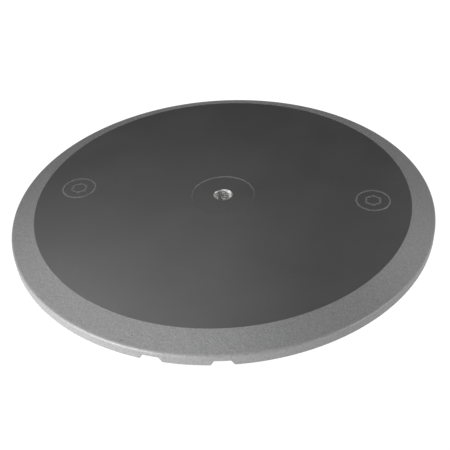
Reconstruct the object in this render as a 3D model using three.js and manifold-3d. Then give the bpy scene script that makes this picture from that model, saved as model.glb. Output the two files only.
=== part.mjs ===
// Round cast-iron base plate for an upright pole. The pole screws into a thread in the middle of the plate.
// The casting is a shallow dish, open underneath: a flat top with a bevelled rim, a skirt, a central boss
// with the thread, and radial ribs, each ending in a boss for a rubber foot. A washer and a screw hold it.
// Millimetres, +Z up. The origin is at floor level on the thread's axis, +X points to one of the two
// raised roundels and -Y to the front, where two notches are cut in the skirt.

import * as THREE from "three";
import { mergeVertices } from "three/addons/utils/BufferGeometryUtils.js";
import Module from "manifold-3d";

const wasm = await Module();
wasm.setup();

// ---- Driving dimensions ----

const plate = {
  radius: 225, // outside of the skirt
  flatRadius: 200, // where the flat top turns into the bevel
  height: 20, // skirt's lower edge to the flat top
  wallHeight: 9, // straight part of the skirt's outside
  shoulderRadius: 3, // rounding between skirt and bevel
  thickness: 8, // of the top, flat and bevel alike
  skirtThickness: 10,
  edgeBreak: 0.8, // small chamfer on the skirt's lower edges
  segments: 96,
};
const footProud = 2; // how far the feet lift the skirt off the floor

const seat = { radius: 34, depth: 0.8, segments: 48 }; // sunk face around the thread that the pole bears on
const thread = { majorRadius: 10, pitch: 2.5, crestFlat: 0.32, segments: 16 }; // M20 coarse
const mouth = { radius: thread.majorRadius + 0.2, angle: 60 }; // countersink at both ends, from the axis
const boss = { radius: 30, draft: 1.5, aboveSkirt: 1.5, segments: 40 };
const ribs = { count: 8, edge: 6, root: 8, aboveSkirt: 3 };
const notch = { lowerWidth: 21, upperWidth: 15, height: 5.2, offset: 8.1 }; // degrees from the Y axis
const roundel = { distance: 160, radius: 18.6, line: 2, height: 0.5, hexRadius: 9.5, segments: 32 };

const foot = { circle: 197, radius: 15, height: 10, chamfer: 1.2, segments: 20 };
const counterbore = { radius: 7.4, shelf: 3.4 }; // in the foot's sole, and the rubber left above it
const socket = { depth: 6, wall: 4.2, draft: 1, segments: 24 }; // for one foot, in the casting
const washer = { radius: 7, thickness: 1, segments: 16 };
const screw = { radius: 2.5, length: 12, headRadius: 4.75, headHeight: 2.75, segments: 12 };
const crown = { flat: 0.5, bulge: 0.84, bulgeHeight: 0.36 }; // shares of the head's radius and height
const hexSocket = { width: 3, depth: 1.6 }; // in the screw's head

const gap = 0.3; // between pieces that touch
const overlap = 0.6; // how far joined shapes reach into each other before they are merged
const past = 1; // how far cutting shapes reach past the surface that they cut

// ---- Heights and angles that follow from them ----

const skirtZ = footProud;
const topZ = skirtZ + plate.height;
const webZ = topZ - plate.thickness; // underside of the flat top
const seatZ = topZ - seat.depth;
const bossZ = skirtZ + boss.aboveSkirt;
const ribZ = skirtZ + ribs.aboveSkirt;
const shoulderZ = skirtZ + plate.wallHeight;
const socketTopZ = foot.height + gap;
const socketZ = socketTopZ - socket.depth;
const shelfZ = foot.height - counterbore.shelf; // underside of the rubber that the washer clamps
const washerTopZ = shelfZ - gap;
const headTopZ = washerTopZ - washer.thickness - gap;

const minorRadius = thread.majorRadius - 0.5413 * thread.pitch; // ISO 68 basic profile
const holeRadius = screw.radius + gap;

// The bevel falls from the flat's edge and touches the shoulder's rounding.
const bevelRun = plate.radius - plate.shoulderRadius - plate.flatRadius;
const bevelDrop = topZ - shoulderZ;
const bevelAngle =
  Math.atan2(bevelDrop, bevelRun) - Math.asin(plate.shoulderRadius / Math.hypot(bevelRun, bevelDrop));

// ---- Materials ----

const coatedIron = new THREE.MeshStandardMaterial({ color: 0x3c3c3d, roughness: 0.55, metalness: 0.1 });
const rubber = new THREE.MeshStandardMaterial({ color: 0x161616, roughness: 0.9, metalness: 0 });
const zincSteel = new THREE.MeshStandardMaterial({ color: 0xb4b6b8, roughness: 0.35, metalness: 1 });
const blackSteel = new THREE.MeshStandardMaterial({ color: 0x2a2a2c, roughness: 0.45, metalness: 0.8 });

// ---- Tools for making and joining solids ----

// A closed geometry as a solid, with its repeated vertices merged and its collapsed triangles left out.
function solid(geometry) {
  const bare = new THREE.BufferGeometry().setAttribute("position", geometry.getAttribute("position"));
  if (geometry.index) bare.setIndex(geometry.index);
  const merged = mergeVertices(bare, 1e-4);
  const corners = merged.index.array;
  const kept = [];
  for (let i = 0; i < corners.length; i += 3) {
    const [a, b, c] = corners.slice(i, i + 3);
    if (a !== b && b !== c && c !== a) kept.push(a, b, c);
  }
  const mesh = new wasm.Mesh({
    numProp: 3,
    vertProperties: merged.getAttribute("position").array,
    triVerts: new Uint32Array(kept),
  });
  return new wasm.Manifold(mesh);
}

function part(name, shape, material) {
  const made = shape.getMesh();
  const geometry = new THREE.BufferGeometry()
    .setAttribute("position", new THREE.BufferAttribute(made.vertProperties, made.numProp))
    .setIndex(new THREE.BufferAttribute(made.triVerts, 1));
  geometry.computeVertexNormals();
  const mesh = new THREE.Mesh(geometry, material);
  mesh.name = name;
  return mesh;
}

// An outline of [radius, height] pairs turned about the Z axis. It runs up the outside. It starts and ends
// on the axis, or closes on itself.
function turned(outline, segments) {
  const points = outline.map(([r, z]) => new THREE.Vector2(r, z));
  if (outline[0][0] > 0) points.push(points[0].clone());
  return new THREE.LatheGeometry(points, segments).rotateX(Math.PI / 2);
}

// Points on an arc about [r, z], from one angle to the other, in radians.
function arc(r, z, radius, from, to, steps) {
  return Array.from({ length: steps + 1 }, (_, i) => {
    const angle = from + ((to - from) * i) / steps;
    return [r + radius * Math.cos(angle), z + radius * Math.sin(angle)];
  });
}

function cylinder(radius, lowZ, highZ, segments, highRadius = radius) {
  return new THREE.CylinderGeometry(highRadius, radius, highZ - lowZ, segments)
    .rotateX(Math.PI / 2)
    .translate(0, 0, (lowZ + highZ) / 2);
}

// A closed outline of [across, height] pairs, drawn out along +X from one distance to another.
function drawnOut(outline, from, to) {
  const shape = new THREE.Shape(outline.map(([y, z]) => new THREE.Vector2(y, z)));
  return new THREE.ExtrudeGeometry(shape, { depth: to - from, bevelEnabled: false })
    .rotateX(Math.PI / 2)
    .rotateZ(Math.PI / 2)
    .translate(from, 0, 0);
}

// Copies of a geometry turned about the Z axis to each angle, in degrees, as one solid.
function around(geometry, angles) {
  const copies = angles.map((angle) => solid(geometry.clone().rotateZ(THREE.MathUtils.degToRad(angle))));
  return wasm.Manifold.union(copies);
}

const ribAngles = Array.from({ length: ribs.count }, (_, i) => (360 * i) / ribs.count);
const notchAngles = [-90, 90].flatMap((middle) => [middle - notch.offset, middle + notch.offset]);

// ---- The casting ----

// The dish: the flat top, the bevelled rim and the skirt, with the underside following the outside.
function dish() {
  const skirtInside = plate.radius - plate.skirtThickness;
  const thicknessDown = plate.thickness / Math.cos(bevelAngle); // of the bevel, measured straight down
  const bevelUnder = (r) => topZ - thicknessDown - (r - plate.flatRadius) * Math.tan(bevelAngle);
  const underFlatRadius = plate.flatRadius - (thicknessDown - plate.thickness) / Math.tan(bevelAngle);
  const shoulderEnd = Math.PI / 2 - bevelAngle;
  return turned(
    [
      [0, webZ],
      [underFlatRadius, webZ],
      [skirtInside, bevelUnder(skirtInside)],
      [skirtInside + plate.edgeBreak, skirtZ],
      [plate.radius - plate.edgeBreak, skirtZ],
      [plate.radius, skirtZ + plate.edgeBreak],
      ...arc(plate.radius - plate.shoulderRadius, shoulderZ, plate.shoulderRadius, 0, shoulderEnd, 3),
      [plate.flatRadius, topZ],
      [0, topZ],
    ],
    plate.segments,
  );
}

function centralBoss() {
  return solid(cylinder(boss.radius, bossZ, webZ + overlap, boss.segments, boss.radius + boss.draft));
}

// The ribs run from the central boss to the foot bosses. They are wider at the root than at the edge.
function radialRibs() {
  const outline = [
    [-ribs.edge / 2, ribZ],
    [ribs.edge / 2, ribZ],
    [ribs.root / 2, webZ + overlap],
    [-ribs.root / 2, webZ + overlap],
  ];
  const reach = foot.circle - foot.radius - socket.wall / 2;
  return around(drawnOut(outline, boss.radius - overlap, reach), ribAngles);
}

function footBosses() {
  const radius = foot.radius + gap + socket.wall;
  const shape = cylinder(radius, socketZ, webZ + overlap, socket.segments, radius + socket.draft);
  return around(shape.translate(foot.circle, 0, 0), ribAngles);
}

// Sockets for the rubber feet, and the blind holes that their screws bite in.
function footSockets() {
  const wide = cylinder(foot.radius + gap, socketZ - past, socketTopZ, socket.segments);
  const narrow = cylinder(holeRadius, socketTopZ - past, headTopZ + screw.length + past, screw.segments);
  return [wide, narrow].map((shape) => around(shape.translate(foot.circle, 0, 0), ribAngles));
}

// Trapezoid openings in the skirt, cut from its lower edge.
function notches() {
  const slope = (notch.lowerWidth - notch.upperWidth) / 2 / notch.height;
  const lower = notch.lowerWidth / 2 + slope * past;
  const outline = [
    [-lower, skirtZ - past],
    [lower, skirtZ - past],
    [notch.upperWidth / 2, skirtZ + notch.height],
    [-notch.upperWidth / 2, skirtZ + notch.height],
  ];
  const from = plate.radius - 1.5 * plate.skirtThickness;
  return around(drawnOut(outline, from, plate.radius + past), notchAngles);
}

// The two raised roundels on the top: a ring, and a plain hexagon inside it.
function roundels() {
  const { radius, line, height, hexRadius, segments, distance } = roundel;
  const bottom = topZ - overlap;
  const top = topZ + height;
  const draft = height / 2;
  const ring = turned(
    [
      [radius, bottom],
      [radius - draft, top],
      [radius - line + draft, top],
      [radius - line, bottom],
    ],
    segments,
  );
  const hexagon = solid(cylinder(hexRadius, bottom, top, 6));
  const inside = solid(cylinder(hexRadius - line, bottom - past, top + past, 6));
  const emblem = solid(ring).add(hexagon.subtract(inside));
  return emblem.translate([distance, 0, 0]).add(emblem.translate([-distance, 0, 0]));
}

// The sunk seat, with a wall that slopes at 45 degrees.
function seatRecess() {
  const { radius, depth, segments } = seat;
  return solid(cylinder(radius - depth, seatZ, topZ + depth, segments, radius + depth));
}

// The core of the thread, countersunk at both ends.
function bore() {
  const slope = Math.tan(THREE.MathUtils.degToRad(mouth.angle));
  const depth = (mouth.radius - minorRadius) / slope;
  const reach = past / slope;
  const outline = [
    [0, bossZ - reach],
    [mouth.radius + past, bossZ - reach],
    [minorRadius, bossZ + depth],
    [minorRadius, seatZ - depth],
    [mouth.radius + past, seatZ + reach],
    [0, seatZ + reach],
  ];
  return solid(turned(outline, thread.segments));
}

// The groove of the thread: a trapezoid swept up a helix that runs out of the bore at both ends.
function threadGroove() {
  const { majorRadius, pitch, crestFlat, segments } = thread;
  const innerRadius = minorRadius - overlap;
  const halfCrest = crestFlat / 2;
  const halfRoot = halfCrest + (majorRadius - innerRadius) * Math.tan(Math.PI / 6);
  const section = [
    [innerRadius, -halfRoot],
    [majorRadius, -halfCrest],
    [majorRadius, halfCrest],
    [innerRadius, halfRoot],
  ];
  const startZ = bossZ - pitch;
  const steps = Math.ceil(((seatZ + pitch - startZ) / pitch) * segments);
  const positions = [];
  for (let i = 0; i <= steps; i++) {
    const angle = (2 * Math.PI * i) / segments;
    for (const [r, z] of section) {
      positions.push(r * Math.cos(angle), r * Math.sin(angle), startZ + (i / segments) * pitch + z);
    }
  }
  const index = [0, 1, 2, 0, 2, 3];
  for (let i = 0; i < steps; i++) {
    for (let k = 0; k < 4; k++) {
      const [a, b] = [4 * i + k, 4 * i + ((k + 1) % 4)];
      index.push(a, a + 4, b, b, a + 4, b + 4);
    }
  }
  const last = 4 * steps;
  index.push(last, last + 2, last + 1, last, last + 3, last + 2);
  return solid(
    new THREE.BufferGeometry()
      .setAttribute("position", new THREE.BufferAttribute(new Float32Array(positions), 3))
      .setIndex(index),
  );
}

function baseCasting() {
  const [sockets, screwHoles] = footSockets();
  const shape = solid(dish())
    .add(centralBoss())
    .add(radialRibs())
    .add(footBosses())
    .add(roundels())
    .subtract(sockets)
    .subtract(screwHoles)
    .subtract(notches())
    .subtract(seatRecess())
    .subtract(bore())
    .subtract(threadGroove());
  return part("base_casting", shape, coatedIron);
}

// ---- The pieces of one foot, standing on the floor at the origin ----

function rubberFoot(name) {
  const { radius, height, chamfer, segments } = foot;
  const outline = [
    [counterbore.radius, 0],
    [radius - chamfer, 0],
    [radius, socketZ],
    [radius, height],
    [holeRadius, height],
    [holeRadius, shelfZ],
    [counterbore.radius, shelfZ],
  ];
  return part(name, solid(turned(outline, segments)), rubber);
}

function footWasher(name) {
  const lowZ = washerTopZ - washer.thickness;
  const outline = [
    [washer.radius, lowZ],
    [washer.radius, washerTopZ],
    [holeRadius, washerTopZ],
    [holeRadius, lowZ],
  ];
  return part(name, solid(turned(outline, washer.segments)), zincSteel);
}

// A button-head screw with a hexagon socket, its head down.
function footScrew(name) {
  const { radius, length, headRadius, headHeight, segments } = screw;
  const lowZ = headTopZ - headHeight;
  const outline = [
    [0, lowZ],
    [headRadius * crown.flat, lowZ],
    [headRadius * crown.bulge, lowZ + headHeight * crown.bulgeHeight],
    [headRadius, headTopZ],
    [radius, headTopZ],
    [radius, headTopZ + length],
    [0, headTopZ + length],
  ];
  const hexagon = cylinder(hexSocket.width / Math.sqrt(3), lowZ - past, lowZ + hexSocket.depth, 6);
  return part(name, solid(turned(outline, segments)).subtract(solid(hexagon)), blackSteel);
}

// ---- The assembly ----

const base = new THREE.Group();
base.add(baseCasting());
ribAngles.forEach((degrees, i) => {
  const angle = THREE.MathUtils.degToRad(degrees);
  const place = new THREE.Group();
  place.position.set(foot.circle * Math.cos(angle), foot.circle * Math.sin(angle), 0);
  place.rotation.z = angle;
  place.add(rubberFoot(`rubber_foot_${i + 1}`));
  place.add(footWasher(`foot_washer_${i + 1}`));
  place.add(footScrew(`foot_screw_${i + 1}`));
  base.add(place);
});

export default base;
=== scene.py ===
"""Looks of a round cast-iron base plate for an upright pole.

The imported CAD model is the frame. Every piece of it is replaced by a finer mesh in the same place: the
casting with its rounded edges, notches, seat, thread and ribs, and the rubber foot, washer and screw at each
rib's outer end. Shapes are worked out in millimetres and turned into metres when their mesh is made.
"""

import math

import bmesh
import bpy
from mathutils import Matrix, Vector


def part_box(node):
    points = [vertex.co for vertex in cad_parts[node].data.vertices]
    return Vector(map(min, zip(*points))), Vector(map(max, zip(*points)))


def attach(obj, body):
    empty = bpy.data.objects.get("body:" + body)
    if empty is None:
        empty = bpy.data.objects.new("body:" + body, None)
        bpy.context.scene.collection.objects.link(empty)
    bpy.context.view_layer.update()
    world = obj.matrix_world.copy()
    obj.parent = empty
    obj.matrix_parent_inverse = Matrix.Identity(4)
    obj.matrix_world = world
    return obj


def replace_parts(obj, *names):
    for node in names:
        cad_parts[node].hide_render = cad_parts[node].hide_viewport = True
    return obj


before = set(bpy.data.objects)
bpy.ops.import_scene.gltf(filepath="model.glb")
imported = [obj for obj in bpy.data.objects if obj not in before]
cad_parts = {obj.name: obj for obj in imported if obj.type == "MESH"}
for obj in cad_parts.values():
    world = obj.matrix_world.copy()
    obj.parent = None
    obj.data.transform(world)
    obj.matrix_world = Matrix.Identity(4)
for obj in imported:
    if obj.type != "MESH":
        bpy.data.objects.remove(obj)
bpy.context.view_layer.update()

MM = 0.001


def box_mm(node):
    """The lowest and highest corners of a CAD node, in millimetres."""
    return [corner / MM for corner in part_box(node)]


# ---- Driving dimensions, in millimetres ----

casting_low, casting_high = box_mm("base_casting")
foot_low, foot_high = box_mm("rubber_foot_1")
washer_low, washer_high = box_mm("foot_washer_1")
screw_low, screw_high = box_mm("foot_screw_1")

ROUNDEL_HEIGHT = 0.5
PLATE_RADIUS = casting_high.x
SKIRT_Z = casting_low.z
TOP_Z = casting_high.z - ROUNDEL_HEIGHT
THICKNESS = 8
WEB_Z = TOP_Z - THICKNESS
FLAT_RADIUS = 200
WALL_HEIGHT = 9
SHOULDER_ROUNDING = 3
SKIRT_THICKNESS = 10
SKIRT_DRAFT = 0.8
EDGE_ROUNDING = 1  # of the skirt's lower edges
FLAT_ROUNDING = 1.5  # where the flat meets the bevel
BEND_FILLET = 8  # the same bend, on the underside
SKIRT_FILLET = 3.5

SEAT_RADIUS = 34
SEAT_DEPTH = 0.8
SEAT_Z = TOP_Z - SEAT_DEPTH
SEAT_ROUNDING = 0.25
SEAT_FILLET = 0.3
BOSS_RADIUS = 30
BOSS_DRAFT = 1.5
BOSS_ROUNDING = 1.5
BOSS_FILLET = 4
BOSS_Z = SKIRT_Z + 1.5

THREAD_RADIUS = 10
THREAD_PITCH = 2.5
THREAD_DEPTH = 0.5413  # times the pitch, on an ISO metric thread
MOUTH_RADIUS = THREAD_RADIUS + 0.2
MOUTH_ANGLE = math.radians(60)  # of the countersink, from the axis

NOTCH_LOWER = 21
NOTCH_UPPER = 15
NOTCH_HEIGHT = 5.2
NOTCH_OFFSET = 8.1  # degrees from the Y axis
NOTCH_SOFTNESS = 0.2  # of its corners, as a share of the run of its sides
NOTCH_CENTRES = [middle + side * NOTCH_OFFSET for middle in (-90, 90) for side in (-1, 1)]

ROUNDEL_DISTANCE = 160
ROUNDEL_RADIUS = 18.6
ROUNDEL_LINE = 2
HEXAGON_APOTHEM = 8.2

SPOKES = 8
RIB_EDGE = 6
RIB_ROOT = 8
RIB_Z = SKIRT_Z + 3

FOOT_CIRCLE = (foot_low.x + foot_high.x) / 2
FOOT_RADIUS = foot_high.x - FOOT_CIRCLE
FOOT_HEIGHT = foot_high.z
COUNTERBORE = 7.4
CLEARANCE = 0.3  # between two pieces of a foot, or a piece and its socket
SHELF_Z = washer_high.z + CLEARANCE
SOCKET_DEPTH = 6
SOCKET_TOP = FOOT_HEIGHT + CLEARANCE
SOCKET_Z = SOCKET_TOP - SOCKET_DEPTH
SOCKET_RADIUS = FOOT_RADIUS + CLEARANCE
SOCKET_WALL = 4.2
WASHER_RADIUS = (washer_high.z - washer_low.z) * 7
SCREW_RADIUS = 2.5
SCREW_PITCH = 0.8
HOLE_RADIUS = SCREW_RADIUS + CLEARANCE

# ---- Outlines ----

ARC_STEP = math.radians(15)
SUPPORT = 0.5
NO_SUPPORT = math.inf


def rounded(corners, closed=True, support=SUPPORT):
    """Points along an outline given as (x, y, rounding) corners. Each rounded corner becomes an arc. Each
    long straight stretch gets two points, the support distance from its ends, that keep its shading flat."""
    points = []
    count = len(corners)
    for i, (x, y, radius) in enumerate(corners):
        here = Vector((x, y))
        if radius == 0:
            points.append(here)
            continue
        before = (Vector(corners[i - 1][:2]) - here).normalized()
        after = (Vector(corners[(i + 1) % count][:2]) - here).normalized()
        half = before.angle(after) / 2
        centre = here + (before + after).normalized() * radius / math.sin(half)
        first = here + before * radius / math.tan(half) - centre
        last = here + after * radius / math.tan(half) - centre
        sweep = math.atan2(first.cross(last), first.dot(last))
        steps = max(2, math.ceil(abs(sweep) / ARC_STEP))
        for k in range(steps + 1):
            points.append(centre + Matrix.Rotation(sweep * k / steps, 2) @ first)
    supported = []
    for a, b in zip(points, points[1:] + points[:1]):
        supported.append(a)
        if (closed or b is not points[0]) and (b - a).length > 4 * support:
            way = (b - a).normalized() * support
            supported += [a + way, b - way]
    return supported


def even_angles(count):
    return [math.tau * i / count for i in range(count)]


# ---- Meshes ----

SHARP_ANGLE = math.radians(32)  # between faces; a larger one is shaded as an edge


def surface(bm, rows, closed):
    """Faces between rows of vertices that run round the Z axis. The last row joins the first if closed."""
    pairs = list(zip(rows, rows[1:]))
    if closed:
        pairs.append((rows[-1], rows[0]))
    for low, high in pairs:
        for i in range(len(low)):
            j = (i + 1) % len(low)
            bm.faces.new((low[i], low[j], high[j], high[i]))


def ring_of(bm, radius, z, angles, outline=None):
    """A row of vertices round the Z axis. For a ring that isn't round, outline(angle) scales its radius."""
    row = []
    for angle in angles:
        reach = radius * (outline(angle) if outline else 1)
        row.append(bm.verts.new((reach * math.cos(angle), reach * math.sin(angle), z)))
    return row


def turn(bm, profile, angles, outline=None):
    """A solid of revolution from a closed profile, or one whose first and last points are on the axis."""
    on_axis = profile[0].x == 0
    inner = profile[1:-1] if on_axis else profile
    rows = [ring_of(bm, p.x, p.y, angles, outline) for p in inner]
    surface(bm, rows, closed=not on_axis)
    if on_axis:
        bm.faces.new(rows[0][::-1])
        bm.faces.new(rows[-1])


def finished(bm, name, materials):
    """A smooth-shaded object from bm, scaled to metres, with its faces pointing out."""
    bmesh.ops.recalc_face_normals(bm, faces=bm.faces)
    bmesh.ops.scale(bm, vec=(MM, MM, MM), verts=bm.verts)
    mesh = bpy.data.meshes.new(name)
    bm.to_mesh(mesh)
    bm.free()
    obj = bpy.data.objects.new(name, mesh)
    bpy.context.scene.collection.objects.link(obj)
    for material in materials:
        mesh.materials.append(material)
    smooth(mesh)
    return obj


def smooth(mesh):
    mesh.polygons.foreach_set("use_smooth", [True] * len(mesh.polygons))
    mesh.set_sharp_from_angle(angle=SHARP_ANGLE)


def combine(obj, others, operation):
    """Joins the other objects to obj, or cuts them from it, and removes them."""
    group = bpy.data.collections.new("operands")
    bpy.context.scene.collection.children.link(group)
    for other in others:
        group.objects.link(other)
    modifier = obj.modifiers.new("combine", "BOOLEAN")
    modifier.operation = operation
    modifier.operand_type = "COLLECTION"
    modifier.collection = group
    modifier.solver = "MANIFOLD"
    depsgraph = bpy.context.evaluated_depsgraph_get()
    made = bpy.data.meshes.new_from_object(obj.evaluated_get(depsgraph))
    obj.modifiers.clear()
    obj.data = made
    while made.materials[-1] is None:
        made.materials.pop()
    for other in others:
        bpy.data.objects.remove(other)
    bpy.data.collections.remove(group)
    smooth(made)


def prism(bm, outline, low, high):
    """A prism along X, from an outline in the Y-Z plane."""
    ends = [[bm.verts.new((x, p.x, p.y)) for p in outline] for x in (low, high)]
    bm.faces.new(ends[0])
    bm.faces.new(ends[1][::-1])
    for i in range(len(outline)):
        j = (i + 1) % len(outline)
        bm.faces.new((ends[0][i], ends[0][j], ends[1][j], ends[1][i]))


# ---- Screw threads ----

FLANK_FROM = 1 / 8  # of the pitch, from the middle of the flat at the smaller radius
FLANK_TO = 7 / 16
FLANK_MIDDLE = (FLANK_FROM + FLANK_TO) / 2
THREAD_PHASES = (0, FLANK_FROM, FLANK_MIDDLE, FLANK_TO, 1 - FLANK_TO, 1 - FLANK_MIDDLE, 1 - FLANK_FROM)
MERGE_DISTANCE = 1e-4


def thread_surface(bm, major, pitch, low, high, angles, mouth=None):
    """The flanks of a right-hand thread between two heights, as faces that follow its helix. With a mouth
    radius it is a nut's thread, countersunk at both ends; without one it is a screw's, chamfered at both."""
    minor = major - THREAD_DEPTH * pitch

    def radius(z, turns):
        phase = (z - low) / pitch - turns
        beside = abs(phase - round(phase))
        flank = (beside - FLANK_FROM) / (FLANK_TO - FLANK_FROM)
        reach = minor + (major - minor) * min(max(flank, 0), 1)
        inside = min(z - low, high - z)
        return max(reach, mouth - math.tan(MOUTH_ANGLE) * inside) if mouth else min(reach, minor + inside)

    turns_needed = math.ceil((high - low) / pitch) + 1
    heights = [n + phase for n in range(-1, turns_needed + 1) for phase in THREAD_PHASES]
    columns = []
    for angle in angles:
        turns = angle / math.tau
        column = []
        for height in heights:
            z = min(max(low + pitch * (height + turns), low), high)
            r = radius(z, turns)
            column.append(bm.verts.new((r * math.cos(angle), r * math.sin(angle), z)))
        columns.append(column)
    for column, following in zip(columns, columns[1:]):
        for j in range(len(heights) - 1):
            bm.faces.new((column[j], following[j], following[j + 1], column[j + 1]))
    one_turn = len(THREAD_PHASES)
    first, last = columns[0], columns[-1]
    for j in range(len(heights) - 1 - one_turn):
        k = j + one_turn
        bm.faces.new((last[j], first[k], first[k + 1], last[j + 1]))


# ---- The casting ----

SHOULDER_Z = SKIRT_Z + WALL_HEIGHT
SKIRT_INSIDE = PLATE_RADIUS - SKIRT_THICKNESS
BEVEL_RUN = PLATE_RADIUS - SHOULDER_ROUNDING - FLAT_RADIUS
BEVEL_DROP = TOP_Z - SHOULDER_Z
BEVEL_REACH = math.hypot(BEVEL_RUN, BEVEL_DROP)
BEVEL_ANGLE = math.atan2(BEVEL_DROP, BEVEL_RUN) - math.asin(SHOULDER_ROUNDING / BEVEL_REACH)
THICKNESS_DOWN = THICKNESS / math.cos(BEVEL_ANGLE)  # of the plate under the bevel


def bevel_z(radius):
    """Height of the bevel's face at a radius."""
    return TOP_Z - (radius - FLAT_RADIUS) * math.tan(BEVEL_ANGLE)


def casting_outline():
    """From the thread's lower mouth out along the underside, up the skirt and in to the upper mouth."""
    under_flat = FLAT_RADIUS - (THICKNESS_DOWN - THICKNESS) / math.tan(BEVEL_ANGLE)
    return rounded(
        [
            (MOUTH_RADIUS, BOSS_Z, 0),
            (BOSS_RADIUS, BOSS_Z, BOSS_ROUNDING),
            (BOSS_RADIUS + BOSS_DRAFT, WEB_Z, BOSS_FILLET),
            (under_flat, WEB_Z, BEND_FILLET),
            (SKIRT_INSIDE, bevel_z(SKIRT_INSIDE) - THICKNESS_DOWN, SKIRT_FILLET),
            (SKIRT_INSIDE + SKIRT_DRAFT, SKIRT_Z, EDGE_ROUNDING),
            (PLATE_RADIUS, SKIRT_Z, EDGE_ROUNDING),
            (PLATE_RADIUS, bevel_z(PLATE_RADIUS), SHOULDER_ROUNDING),
            (FLAT_RADIUS, TOP_Z, FLAT_ROUNDING),
            (SEAT_RADIUS, TOP_Z, SEAT_ROUNDING),
            (SEAT_RADIUS - SEAT_DEPTH, SEAT_Z, SEAT_FILLET),
            (MOUTH_RADIUS, SEAT_Z, 0),
        ],
        closed=False,
    )


def casting_angles():
    """Even steps round the plate, with more of them where the sides of a notch begin and end."""
    angles = set(even_angles(288))
    beside_corner = (-0.6, -0.3, 0, 0.3, 0.6)
    for centre in NOTCH_CENTRES:
        for half in (NOTCH_LOWER / 2, NOTCH_UPPER / 2):
            for side in (-1, 1):
                for nudge in beside_corner:
                    angles.add((math.radians(centre) + side * (half + nudge) / PLATE_RADIUS) % math.tau)
    return sorted(angles)


def soft_clamp(value, softness):
    """value kept between 0 and 1, turning smoothly over that softness at both limits."""

    def above_zero(x):
        if x >= softness:
            return x
        return 0 if x <= -softness else (x + softness) ** 2 / (4 * softness)

    return 1 - above_zero(1 - above_zero(value))


def notch_lift(x, y):
    """How far a notch raises the skirt's lower edge there."""
    angle = math.atan2(y, x)
    slope = (NOTCH_LOWER - NOTCH_UPPER) / 2
    lift = 0
    for centre in NOTCH_CENTRES:
        turn_away = (angle - math.radians(centre) + math.pi) % math.tau - math.pi
        inside = (NOTCH_LOWER / 2 - abs(turn_away) * PLATE_RADIUS) / slope
        lift = max(lift, NOTCH_HEIGHT * soft_clamp(inside, NOTCH_SOFTNESS))
    return lift


def cut_notches(bm):
    """Raises the skirt's lower edge, with its rounding, into the notches."""
    whole_lift_to = SKIRT_Z + EDGE_ROUNDING + 0.2
    no_lift_from = SKIRT_Z + 7.5
    skirt_from = SKIRT_INSIDE - 5
    for vert in bm.verts:
        x, y, z = vert.co
        if z < no_lift_from and math.hypot(x, y) > skirt_from:
            share = min((no_lift_from - z) / (no_lift_from - whole_lift_to), 1)
            vert.co.z += notch_lift(x, y) * share


def rib(angle):
    """A rib with a flared root and a rounded edge, from the central boss to a foot boss."""
    flare, into_web, below_web = 5, 0.3, 0.1
    fillet, rounding = 3, 1.5
    bm = bmesh.new()
    half = [
        (RIB_ROOT / 2 + flare, WEB_Z + into_web, 0),
        (RIB_ROOT / 2, WEB_Z - below_web, fillet),
        (RIB_EDGE / 2, RIB_Z, rounding),
    ]
    outline = rounded([(-y, z, r) for y, z, r in half] + half[::-1], support=NO_SUPPORT)
    prism(bm, outline, BOSS_RADIUS - 1, FOOT_CIRCLE - SOCKET_RADIUS - SOCKET_WALL / 2)
    bmesh.ops.rotate(bm, verts=bm.verts, matrix=Matrix.Rotation(angle, 3, "Z"))
    return finished(bm, "rib", [])


def at_foot(bm, angle):
    """Moves what was made on the Z axis to the foot at that angle."""
    move = Matrix.Rotation(angle, 4, "Z") @ Matrix.Translation((FOOT_CIRCLE, 0, 0))
    bmesh.ops.transform(bm, matrix=move, verts=bm.verts)


def foot_boss(angle):
    radius = SOCKET_RADIUS + SOCKET_WALL
    draft, flare, into_web, below_web = 1, 2.4, 0.25, 0.1
    rounding, fillet = 1, 2
    corners = [
        (0, SOCKET_Z, 0),
        (radius, SOCKET_Z, rounding),
        (radius + draft, WEB_Z - below_web, fillet),
        (radius + draft + flare, WEB_Z + into_web, 0),
        (0, WEB_Z + into_web, 0),
    ]
    bm = bmesh.new()
    turn(bm, rounded(corners, closed=False, support=NO_SUPPORT), even_angles(72))
    at_foot(bm, angle)
    return finished(bm, "foot_boss", [])


def foot_hollow(angle):
    """The socket for a rubber foot, with a broken edge, and the hole for its screw."""
    past, chamfer, fillet = 1, 0.4, 0.5
    below = SOCKET_Z - past
    corners = [
        (0, below, 0),
        (SOCKET_RADIUS + (past + chamfer), below, 0),
        (SOCKET_RADIUS, SOCKET_Z + chamfer, 0),
        (SOCKET_RADIUS, SOCKET_TOP, fillet),
        (HOLE_RADIUS + chamfer, SOCKET_TOP, 0),
        (HOLE_RADIUS, SOCKET_TOP + chamfer, 0),
        (HOLE_RADIUS, screw_high.z + past, 0),
        (0, screw_high.z + 2 * past, 0),
    ]
    bm = bmesh.new()
    turn(bm, rounded(corners, closed=False, support=NO_SUPPORT), even_angles(60))
    at_foot(bm, angle)
    return finished(bm, "foot_hollow", [])


def hexagon(angle):
    """How much further out than its flats a hexagon reaches at an angle."""
    sixth = math.pi / 3
    return 1 / math.cos((angle + sixth / 2) % sixth - sixth / 2)


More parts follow.
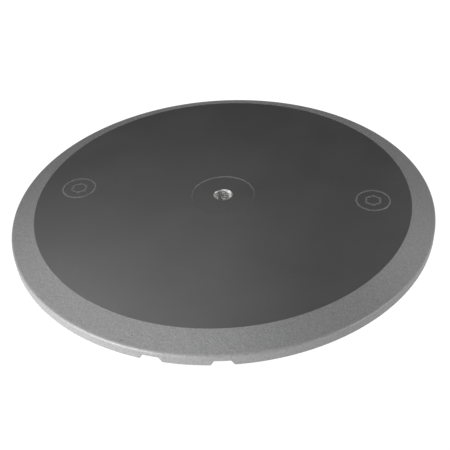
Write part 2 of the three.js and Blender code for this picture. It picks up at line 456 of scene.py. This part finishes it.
def bead(middle, x, outline, angles, material):
    """A raised line on the flat top, round a point on the X axis."""
    half = ROUNDEL_LINE / 2
    crown = half * 0.75
    crown_rounding = 0.25
    base, side_from = TOP_Z - 0.5, TOP_Z - 0.05  # both inside the casting
    corners = [
        (middle - half, base, 0),
        (middle + half, base, 0),
        (middle + half, side_from, 0),
        (middle + crown, TOP_Z + ROUNDEL_HEIGHT, crown_rounding),
        (middle - crown, TOP_Z + ROUNDEL_HEIGHT, crown_rounding),
        (middle - half, side_from, 0),
    ]
    bm = bmesh.new()
    turn(bm, rounded(corners, support=NO_SUPPORT), angles, outline)
    bmesh.ops.translate(bm, verts=bm.verts, vec=(x, 0, 0))
    return finished(bm, "bead", [material])


def base_casting(rough, flat, bare):
    """The casting, with one material for its rough skin, one for its flat top and one for its thread. The
    rough skin's material is the top's coat, with painted light making it lighter.
    """
    bm = bmesh.new()
    angles = casting_angles()
    outline = casting_outline()
    surface(bm, [ring_of(bm, p.x, p.y, angles) for p in outline], closed=False)
    cut_notches(bm)
    thread_surface(bm, THREAD_RADIUS, THREAD_PITCH, BOSS_Z, SEAT_Z, angles, MOUTH_RADIUS)
    bmesh.ops.remove_doubles(bm, verts=bm.verts, dist=MERGE_DISTANCE)
    slack = 0.01
    for face in bm.faces:
        reach = max(v.co.xy.length for v in face.verts)
        heights = [v.co.z for v in face.verts]
        level = max(heights) - min(heights) < 0.1  # unlike the wall of the seat
        if reach < MOUTH_RADIUS + slack:
            face.material_index = 2
        elif level and min(heights) > SEAT_Z - slack and reach < FLAT_RADIUS:
            face.material_index = 1
    casting = finished(bm, "base_casting_cast", [rough, flat, bare])
    spokes = even_angles(SPOKES)
    beads = []
    for x in (-ROUNDEL_DISTANCE, ROUNDEL_DISTANCE):
        beads.append(bead(ROUNDEL_RADIUS - ROUNDEL_LINE / 2, x, None, even_angles(96), rough))
        beads.append(bead(HEXAGON_APOTHEM - ROUNDEL_LINE / 2, x, hexagon, even_angles(36), rough))
    combine(casting, [rib(a) for a in spokes] + [foot_boss(a) for a in spokes] + beads, "UNION")
    combine(casting, [foot_hollow(a) for a in spokes], "DIFFERENCE")
    return casting


# ---- The pieces of a foot ----


def rubber_foot(name, angle, material):
    """A ring-shaped foot with a shelf for the washer and two grooves in its sole."""
    groove_radii, groove_depth, groove_mouth, groove_bottom = (9.6, 11.9), 0.9, 0.45, 0.3
    taper, rounding = 1.2, 0.2
    corners = [(COUNTERBORE, 0, 0.4)]
    for middle in groove_radii:
        corners += [(middle - groove_mouth, 0, rounding), (middle - groove_bottom, groove_depth, rounding)]
        corners += [(middle + groove_bottom, groove_depth, rounding), (middle + groove_mouth, 0, rounding)]
    corners += [
        (FOOT_RADIUS - taper, 0, 0.7),
        (FOOT_RADIUS, SOCKET_Z, 0.5),
        (FOOT_RADIUS, FOOT_HEIGHT, 0.8),
        (HOLE_RADIUS, FOOT_HEIGHT, 0.3),
        (HOLE_RADIUS, SHELF_Z, 0.3),
        (COUNTERBORE, SHELF_Z, 0.3),
    ]
    bm = bmesh.new()
    turn(bm, rounded(corners), even_angles(96))
    at_foot(bm, angle)
    return finished(bm, name, [material])


def foot_washer(name, angle, material):
    """A plain washer, its rounder edge down."""
    corners = [
        (HOLE_RADIUS, washer_low.z, 0.12),
        (WASHER_RADIUS, washer_low.z, 0.3),
        (WASHER_RADIUS, washer_high.z, 0.12),
        (HOLE_RADIUS, washer_high.z, 0.12),
    ]
    bm = bmesh.new()
    turn(bm, rounded(corners, support=0.2), even_angles(64))
    at_foot(bm, angle)
    return finished(bm, name, [material])


def foot_screw(name, angle, material):
    """A button-head screw, its head down, with a hexagon socket and a fine thread."""
    head_radius, head_height = 4.75, 2.75
    socket_apothem, socket_depth, socket_chamfer = 1.5, 1.6, 0.15
    low = screw_low.z
    seat = low + head_height
    minor = SCREW_RADIUS - THREAD_DEPTH * SCREW_PITCH
    angles = even_angles(48)
    bm = bmesh.new()
    head = rounded(
        [
            (head_radius * 0.45, low, 0.6),
            (head_radius * 0.86, low + head_height * 0.34, 1.8),
            (head_radius, seat - 0.35, 0.25),
            (head_radius, seat, 0.15),
            (minor, seat, 0),
        ],
        closed=False,
        support=0.3,
    )
    rows = [ring_of(bm, p.x, p.y, angles) for p in head[:-1]] + [ring_of(bm, minor, seat, angles)]
    surface(bm, rows, closed=False)
    mouth = ring_of(bm, socket_apothem + socket_chamfer, low, angles, hexagon)
    wall = ring_of(bm, socket_apothem, low + socket_chamfer, angles, hexagon)
    floor = ring_of(bm, socket_apothem, low + socket_depth, angles, hexagon)
    surface(bm, [floor, wall, mouth, rows[0]], closed=False)
    bm.faces.new(floor)
    thread_surface(bm, SCREW_RADIUS, SCREW_PITCH, seat, screw_high.z, angles)
    tip = ring_of(bm, minor, screw_high.z, angles)
    bm.faces.new(tip)
    bmesh.ops.remove_doubles(bm, verts=bm.verts, dist=MERGE_DISTANCE)
    at_foot(bm, angle)
    return finished(bm, name, [material])


# ---- Materials ----

# Painted light: the rough skin's tint is about three times the top's, though it is the same black coat. The
# extra lightness stands in for light falling on the bevel and wall.
RIM_TINT_PAINTED_LIGHTER = 0.124


class Nodes:
    """Adds shader nodes to a material. Each input is given by its name or, where names repeat, as _ and its
    number, and is a value or another node's output."""

    def __init__(self, tree):
        self.tree = tree

    def add(self, kind, output=0, settings=None, **inputs):
        node = self.tree.nodes.new(kind)
        for name, value in (settings or {}).items():
            setattr(node, name, value)
        for name, value in inputs.items():
            socket = node.inputs[int(name[1:])] if name[1:].isdigit() else node.inputs[name.replace("_", " ")]
            if isinstance(value, bpy.types.NodeSocket):
                self.tree.links.new(value, socket)
            else:
                socket.default_value = value
        return node.outputs[output]

    def place(self):
        return self.add("ShaderNodeTexCoord", output="Object")

    def noise(self, vector, size_mm, detail=2.0, roughness=0.5):
        """Noise from 0 to 1 whose features are about that many millimetres across."""
        return self.add(
            "ShaderNodeTexNoise", Vector=vector, Scale=1 / (size_mm * MM), Detail=detail, Roughness=roughness
        )

    def spread(self, value, low, high, to_low, to_high):
        """value, from low to high, spread over another range."""
        return self.add(
            "ShaderNodeMapRange",
            Value=value,
            From_Min=low,
            From_Max=high,
            To_Min=to_low,
            To_Max=to_high,
        )

    def vary(self, noise, to_low, to_high):
        """A noise, most of which lies between 0.3 and 0.7, spread over another range."""
        return self.spread(noise, 0.3, 0.7, to_low, to_high)

    def bump(self, height, depth_mm, normal=None):
        """A normal from a height that goes from 0 to 1."""
        inputs = {"Height": height, "Strength": 1.0, "Distance": depth_mm * MM}
        if normal is not None:
            inputs["Normal"] = normal
        return self.add("ShaderNodeBump", **inputs)

    def mix(self, share, first, second):
        return self.add(
            "ShaderNodeMix", output=2, settings={"data_type": "RGBA"}, Factor=share, _6=first, _7=second
        )


def new_material(name, **constants):
    """A material whose Principled shader has these constant values, its nodes and that shader."""
    made = bpy.data.materials.new(name)
    made.use_nodes = True
    shader = made.node_tree.nodes["Principled BSDF"]
    for socket, value in constants.items():
        shader.inputs[socket.replace("_", " ")].default_value = value
    return made, Nodes(made.node_tree), shader


def connect(made, shader, **outputs):
    for socket, output in outputs.items():
        made.node_tree.links.new(output, shader.inputs[socket.replace("_", " ")])
    return made


def grey(value):
    return (value, value, value * 1.01, 1)


def smooth_coat():
    """Matte black powder coat on the machined top: a fine grain over a slight waviness."""
    made, nodes, shader = new_material("smooth_coat", Specular_IOR_Level=1.0)
    place = nodes.place()
    grain = nodes.noise(place, 0.7, detail=3, roughness=0.6)
    pebble = nodes.noise(place, 2.4, detail=2)
    wave = nodes.noise(place, 14, detail=1)
    cloud = nodes.noise(place, 60, detail=3)
    normal = nodes.bump(wave, 0.03)
    normal = nodes.bump(pebble, 0.02, normal)
    normal = nodes.bump(grain, 0.02, normal)
    tint = nodes.mix(nodes.vary(cloud, 0, 1), grey(0.040), grey(0.050))
    roughness = nodes.vary(pebble, 0.38, 0.46)
    return connect(made, shader, Base_Color=tint, Roughness=roughness, Normal=normal)


def cast_coat_painted_lighter():
    """The same coat on the rough skin of the casting: duller and pebbled, with small pits. Its tint, about
    three times the top's, is painted light: the same black coat made lighter where the bevel and wall catch
    the lamps.
    """
    made, nodes, shader = new_material("cast_coat_painted_lighter", Specular_IOR_Level=0.5)
    place = nodes.place()
    grain = nodes.noise(place, 1.5, detail=3, roughness=0.65)
    pebble = nodes.noise(place, 4, detail=3, roughness=0.6)
    pits = nodes.spread(nodes.noise(place, 5, detail=2), 0.24, 0.32, 0, 1)
    cloud = nodes.noise(place, 25, detail=3)
    normal = nodes.bump(cloud, 0.15)
    normal = nodes.bump(pits, 0.3, normal)
    normal = nodes.bump(pebble, 0.32, normal)
    normal = nodes.bump(grain, 0.07, normal)
    speckle = nodes.spread(grain, 0.35, 0.7, 0, 1)
    # Painted light: the speckle varies round the lightened rim tint, not the top's tint.
    tint = nodes.mix(speckle, grey(RIM_TINT_PAINTED_LIGHTER * 0.8), grey(RIM_TINT_PAINTED_LIGHTER * 1.25))
    roughness = nodes.vary(pebble, 0.48, 0.60)
    return connect(made, shader, Base_Color=tint, Roughness=roughness, Normal=normal)


def bare_iron():
    """Freshly tapped iron, with fine chatter across the thread."""
    made, nodes, shader = new_material("bare_iron", Metallic=1.0)
    place = nodes.place()
    chatter = nodes.noise(place, 0.5, detail=2)
    patch = nodes.noise(place, 3, detail=2)
    patches = nodes.spread(patch, 0.35, 0.65, 0, 1)
    tint = nodes.mix(patches, (0.58, 0.58, 0.57, 1), (0.84, 0.84, 0.83, 1))
    roughness = nodes.vary(chatter, 0.38, 0.48)
    return connect(made, shader, Base_Color=tint, Roughness=roughness, Normal=nodes.bump(chatter, 0.008))


def moulded_rubber():
    made, nodes, shader = new_material("moulded_rubber", Specular_IOR_Level=0.4)
    place = nodes.place()
    grain = nodes.noise(place, 0.5, detail=3)
    bloom = nodes.noise(place, 6, detail=3)
    tint = nodes.mix(nodes.spread(bloom, 0.4, 0.75, 0, 1), grey(0.010), grey(0.024))
    roughness = nodes.vary(grain, 0.68, 0.85)
    return connect(made, shader, Base_Color=tint, Roughness=roughness, Normal=nodes.bump(grain, 0.03))


def zinc_plate():
    made, nodes, shader = new_material("zinc_plate", Metallic=1.0)
    place = nodes.place()
    spangle = nodes.noise(place, 1.5, detail=3)
    grain = nodes.noise(place, 0.25, detail=2)
    tint = nodes.mix(spangle, (0.50, 0.51, 0.53, 1), (0.68, 0.69, 0.70, 1))
    roughness = nodes.vary(spangle, 0.28, 0.42)
    return connect(made, shader, Base_Color=tint, Roughness=roughness, Normal=nodes.bump(grain, 0.01))


def black_oxide():
    made, nodes, shader = new_material("black_oxide", Metallic=0.8)
    place = nodes.place()
    grain = nodes.noise(place, 0.3, detail=3)
    bloom = nodes.noise(place, 2, detail=2)
    tint = nodes.mix(bloom, grey(0.025), grey(0.055))
    roughness = nodes.vary(grain, 0.32, 0.50)
    return connect(made, shader, Base_Color=tint, Roughness=roughness, Normal=nodes.bump(grain, 0.01))


def plain_floor():
    """A white sweep under even light, which glows rather than being lit, with a painted shadow under the
    plate, where its glow falls almost to nothing.
    """
    made, nodes, shader = new_material(
        "plain_floor",
        Base_Color=(0.1, 0.1, 0.1, 1),
        Emission_Color=(1, 1, 1, 1),
        Roughness=0.9,
        Specular_IOR_Level=0,
    )
    distance = nodes.add(
        "ShaderNodeVectorMath", output="Value", settings={"operation": "LENGTH"}, _0=nodes.place()
    )
    painted_shadow_to, glows_from = 0.17, 0.2  # metres from the middle: the painted shadow under the plate fades out between them
    # Painted shadow: the floor's glow falls to 0.02 inside the plate's rim.
    glow = nodes.spread(distance, painted_shadow_to, glows_from, 0.02, 1)
    return connect(made, shader, Emission_Strength=glow)


# ---- The object ----

casting = base_casting(cast_coat_painted_lighter(), smooth_coat(), bare_iron())
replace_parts(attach(casting, "root"), "base_casting")

rubber, zinc, oxide = moulded_rubber(), zinc_plate(), black_oxide()
for number, angle in enumerate(even_angles(SPOKES), start=1):
    for make, kind, finish, slot in (
        (rubber_foot, "rubber_foot", rubber, "rubber"),
        (foot_washer, "foot_washer", zinc, "zinc_steel"),
        (foot_screw, "foot_screw", oxide, "black_steel"),
    ):
        piece = make(f"{kind}_{number}_fine", angle, finish)
        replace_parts(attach(piece, "root"), f"{kind}_{number}")

# ---- The camera ----

CAMERA_AZIMUTH = math.radians(8.5)
CAMERA_ELEVATION = math.radians(38.29)
CAMERA_ROLL = math.radians(-2.59)
CAMERA_DISTANCE = 826
CAMERA_RIGHT = 25.7  # the camera's place beside and below the line to the plate's middle, in millimetres
CAMERA_UP = -23.1
CAMERA_SHIFT = (-0.052, 0.009)
LENS = 60.45
SENSOR_WIDTH = 36


def add_camera():
    back = Vector(
        (
            math.sin(CAMERA_AZIMUTH) * math.cos(CAMERA_ELEVATION),
            -math.cos(CAMERA_AZIMUTH) * math.cos(CAMERA_ELEVATION),
            math.sin(CAMERA_ELEVATION),
        )
    )
    right = Vector((math.cos(CAMERA_AZIMUTH), math.sin(CAMERA_AZIMUTH), 0))
    up = back.cross(right)
    data = bpy.data.cameras.new("camera")
    data.lens = LENS
    data.sensor_width = SENSOR_WIDTH
    data.shift_x, data.shift_y = CAMERA_SHIFT
    camera = bpy.data.objects.new("camera", data)
    bpy.context.scene.collection.objects.link(camera)
    facing = Matrix((right, up, back)).transposed() @ Matrix.Rotation(CAMERA_ROLL, 3, "Z")
    place = Vector((0, 0, SKIRT_Z)) + CAMERA_DISTANCE * back + CAMERA_RIGHT * right + CAMERA_UP * up
    camera.matrix_world = Matrix.Translation(place * MM) @ facing.to_4x4()
    bpy.context.scene.camera = camera


add_camera()

# ---- The studio ----

FLOOR_REACH = 4000  # to each side, in millimetres
FLOOR_GAP = 0.2 * MM  # under the feet
STRIP_DISTANCE, STRIP_SIZE = 1.1, (0.2, 0.02)  # metres
STRIP_ELEVATION = 0.6  # degrees, below the top's plane
SOFTBOX_DISTANCE, SOFTBOX_SIZE = 0.6, (0.25, 0.25)
HORIZON_BAND = 0.22  # the sine of the elevation at which the sky's horizon light ends
STRIPS = (  # name, azimuth in degrees, power
    ("low_left", 217.5, 6.5),
    ("low_front_left", 232.5, 14.5),
    ("low_front", 247.5, 5.1),
    ("low_right", 337.5, 7),
)
SOFTBOXES = (  # name, azimuth and elevation in degrees, power
    ("front", 262, 50, 2.2),
    ("right", 18, 35, 1.2),
    ("back_left", 157.5, 55, 0.68),
    ("back", 112.5, 55, 0.2),
    ("left", 175, 35, 0.25),
)


def add_floor():
    bm = bmesh.new()
    bmesh.ops.create_grid(bm, x_segments=1, y_segments=1, size=FLOOR_REACH)
    floor = finished(bm, "floor", [plain_floor()])
    floor.location.z = -FLOOR_GAP


def add_panel(name, azimuth, elevation, distance, size, power):
    """A light panel that faces the plate, its size a width and a height. Its azimuth is in degrees from the
    X axis and its lengths are in metres."""
    data = bpy.data.lights.new(name, "AREA")
    data.shape = "RECTANGLE"
    data.size, data.size_y = size
    data.energy = power
    light = bpy.data.objects.new(name, data)
    bpy.context.scene.collection.objects.link(light)
    turned, raised = math.radians(azimuth), math.radians(elevation)
    way = Vector((math.cos(turned) * math.cos(raised), math.sin(turned) * math.cos(raised), math.sin(raised)))
    light.location = way * distance
    light.rotation_euler = (-way).to_track_quat("-Z", "Y").to_euler()
    light.visible_camera = False


def add_sky(horizon, above):
    """A sky that lights the plate brightly from the horizon and dimly from above, behind a white backdrop."""
    world = bpy.data.worlds.new("studio")
    world.use_nodes = True
    nodes = Nodes(world.node_tree)
    way = nodes.add("ShaderNodeTexCoord", output="Generated")
    height = nodes.add("ShaderNodeSeparateXYZ", output="Z", Vector=way)
    light = nodes.spread(height, 0, HORIZON_BAND, horizon, above)
    light.node.interpolation_type = "SMOOTHSTEP"
    seen = nodes.add("ShaderNodeLightPath", output="Is Camera Ray")
    strength = nodes.spread(seen, 0, 1, light, 1)
    background = world.node_tree.nodes["Background"]
    background.inputs["Color"].default_value = (1, 1, 1, 1)
    world.node_tree.links.new(strength, background.inputs["Strength"])
    bpy.context.scene.world = world


add_floor()
add_sky(horizon=0.475, above=0.06)
for name, azimuth, power in STRIPS:
    add_panel(name, azimuth, STRIP_ELEVATION, STRIP_DISTANCE, STRIP_SIZE, power)
for name, azimuth, elevation, power in SOFTBOXES:
    add_panel(name, azimuth, elevation, SOFTBOX_DISTANCE, SOFTBOX_SIZE, power)
bpy.context.scene.view_settings.view_transform = "Standard"
